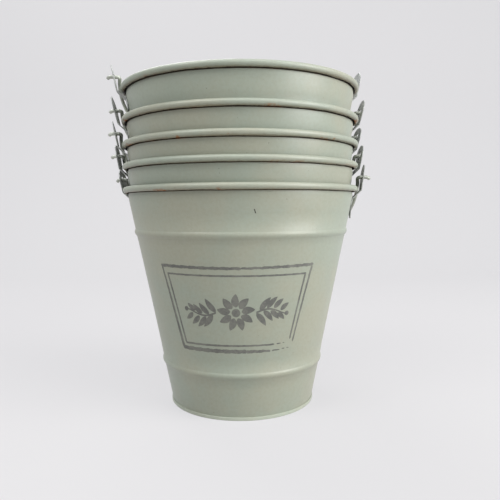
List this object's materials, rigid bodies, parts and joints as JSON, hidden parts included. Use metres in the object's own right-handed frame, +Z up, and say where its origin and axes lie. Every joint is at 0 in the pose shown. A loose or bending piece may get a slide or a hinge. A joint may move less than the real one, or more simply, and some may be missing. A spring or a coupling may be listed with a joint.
{
  "type": "nested stack of flower buckets",
  "caption": "Tapered sheet-metal flower buckets nested in each other, each with curled rim, rolled bands, hemmed base, two ears and a wire bail.",
  "frame": {"origin": "centre of the bottom bucket's foot, in the plane it stands on", "axes": "+Z up through the stack, +X towards the right ears, -Y towards the printed front"},
  "size_m": [0.2173, 0.1937, 0.2709],
  "materials": {
    "painted_steel": "satin sage-green paint",
    "ear_steel": "dull zinc-coated sheet",
    "bail_wire": "dull zinc-coated wire"
  },
  "bodies": {
    "bucket_1": {"wall_1": "painted_steel", "base_1": "painted_steel", "left_ear_1": "ear_steel", "right_ear_1": "ear_steel"},
    "handle_1": {"bail_1": "bail_wire"},
    "bucket_2": {"wall_2": "painted_steel", "base_2": "painted_steel", "left_ear_2": "ear_steel", "right_ear_2": "ear_steel"},
    "handle_2": {"bail_2": "bail_wire"},
    "bucket_3": {"wall_3": "painted_steel", "base_3": "painted_steel", "left_ear_3": "ear_steel", "right_ear_3": "ear_steel"},
    "handle_3": {"bail_3": "bail_wire"},
    "bucket_4": {"wall_4": "painted_steel", "base_4": "painted_steel", "left_ear_4": "ear_steel", "right_ear_4": "ear_steel"},
    "handle_4": {"bail_4": "bail_wire"},
    "bucket_5": {"wall_5": "painted_steel", "base_5": "painted_steel", "left_ear_5": "ear_steel", "right_ear_5": "ear_steel"},
    "handle_5": {"bail_5": "bail_wire"}
  },
  "joints": [
    {"name": "lift_out_2", "type": "slide", "parent": "bucket_1", "child": "bucket_2", "axis": [0, 0, 1], "range_m": [0, 0.185]},
    {"name": "lift_out_3", "type": "slide", "parent": "bucket_2", "child": "bucket_3", "axis": [0, 0, 1], "range_m": [0, 0.185]},
    {"name": "lift_out_4", "type": "slide", "parent": "bucket_3", "child": "bucket_4", "axis": [0, 0, 1], "range_m": [0, 0.185]},
    {"name": "lift_out_5", "type": "slide", "parent": "bucket_4", "child": "bucket_5", "axis": [0, 0, 1], "range_m": [0, 0.185]},
    {"name": "bail_swing_1", "type": "hinge", "parent": "bucket_1", "child": "handle_1", "pos_m": [0, 0, 0.1823], "axis": [0.9966, -0.0819, 0], "range_deg": [0, 14]},
    {"name": "bail_swing_2", "type": "hinge", "parent": "bucket_2", "child": "handle_2", "pos_m": [0, 0, 0.2005], "axis": [0.9983, 0.0576, 0], "range_deg": [0, 7]},
    {"name": "bail_swing_3", "type": "hinge", "parent": "bucket_3", "child": "handle_3", "pos_m": [0, 0, 0.2172], "axis": [0.986, 0.1668, 0], "range_deg": [0, 7]},
    {"name": "bail_swing_4", "type": "hinge", "parent": "bucket_4", "child": "handle_4", "pos_m": [0, 0, 0.2364], "axis": [0.9963, 0.0854, 0], "range_deg": [0, 7]},
    {"name": "bail_swing_5", "type": "hinge", "parent": "bucket_5", "child": "handle_5", "pos_m": [0, 0, 0.261], "axis": [0.9851, 0.1719, 0], "range_deg": [0, 234]}
  ]
}
